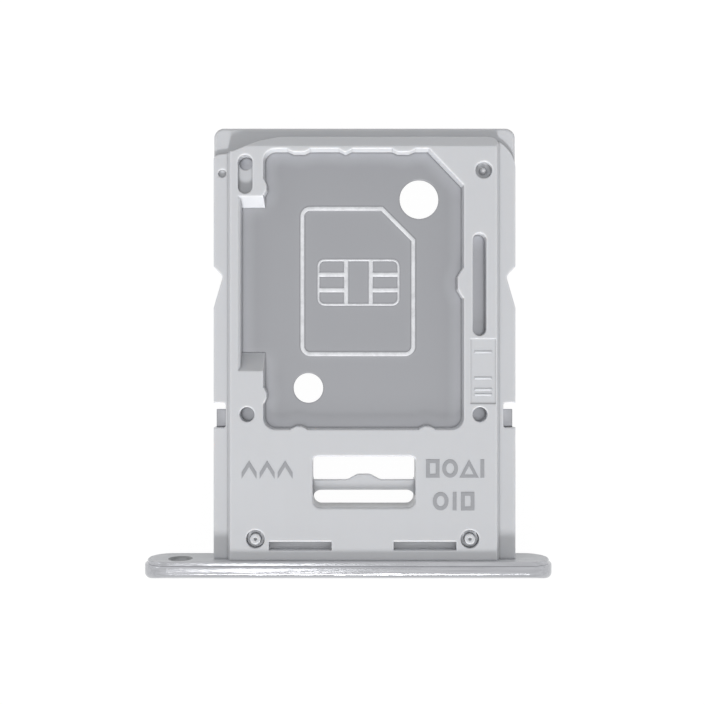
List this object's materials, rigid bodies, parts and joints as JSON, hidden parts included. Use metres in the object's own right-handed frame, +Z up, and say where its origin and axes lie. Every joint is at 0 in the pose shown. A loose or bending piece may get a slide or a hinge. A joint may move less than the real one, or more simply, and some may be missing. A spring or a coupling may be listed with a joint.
{
  "type": "card tray of a phone",
  "caption": "Flat card tray: a moulded frame with a pocket for a small card above and one for a memory card below, a steel plate between them and a metal faceplate.",
  "frame": {"origin": "bottom centre of the whole tray's box, lying flat with the small card's pocket up", "axes": "+X along the faceplate, away from the eject hole; +Y from the faceplate towards the nose that enters the phone; +Z up, out of the small card's pocket"},
  "size_m": [0.0184, 0.0202, 0.0023],
  "materials": {
    "carrier": "fine moulded texture, pale grey",
    "plate": "satin stamped sheet",
    "faceplate": "polished, silver"
  },
  "bodies": {
    "root": {"carrier_frame": "carrier", "divider_plate": "plate", "faceplate": "faceplate"}
  },
  "joints": []
}
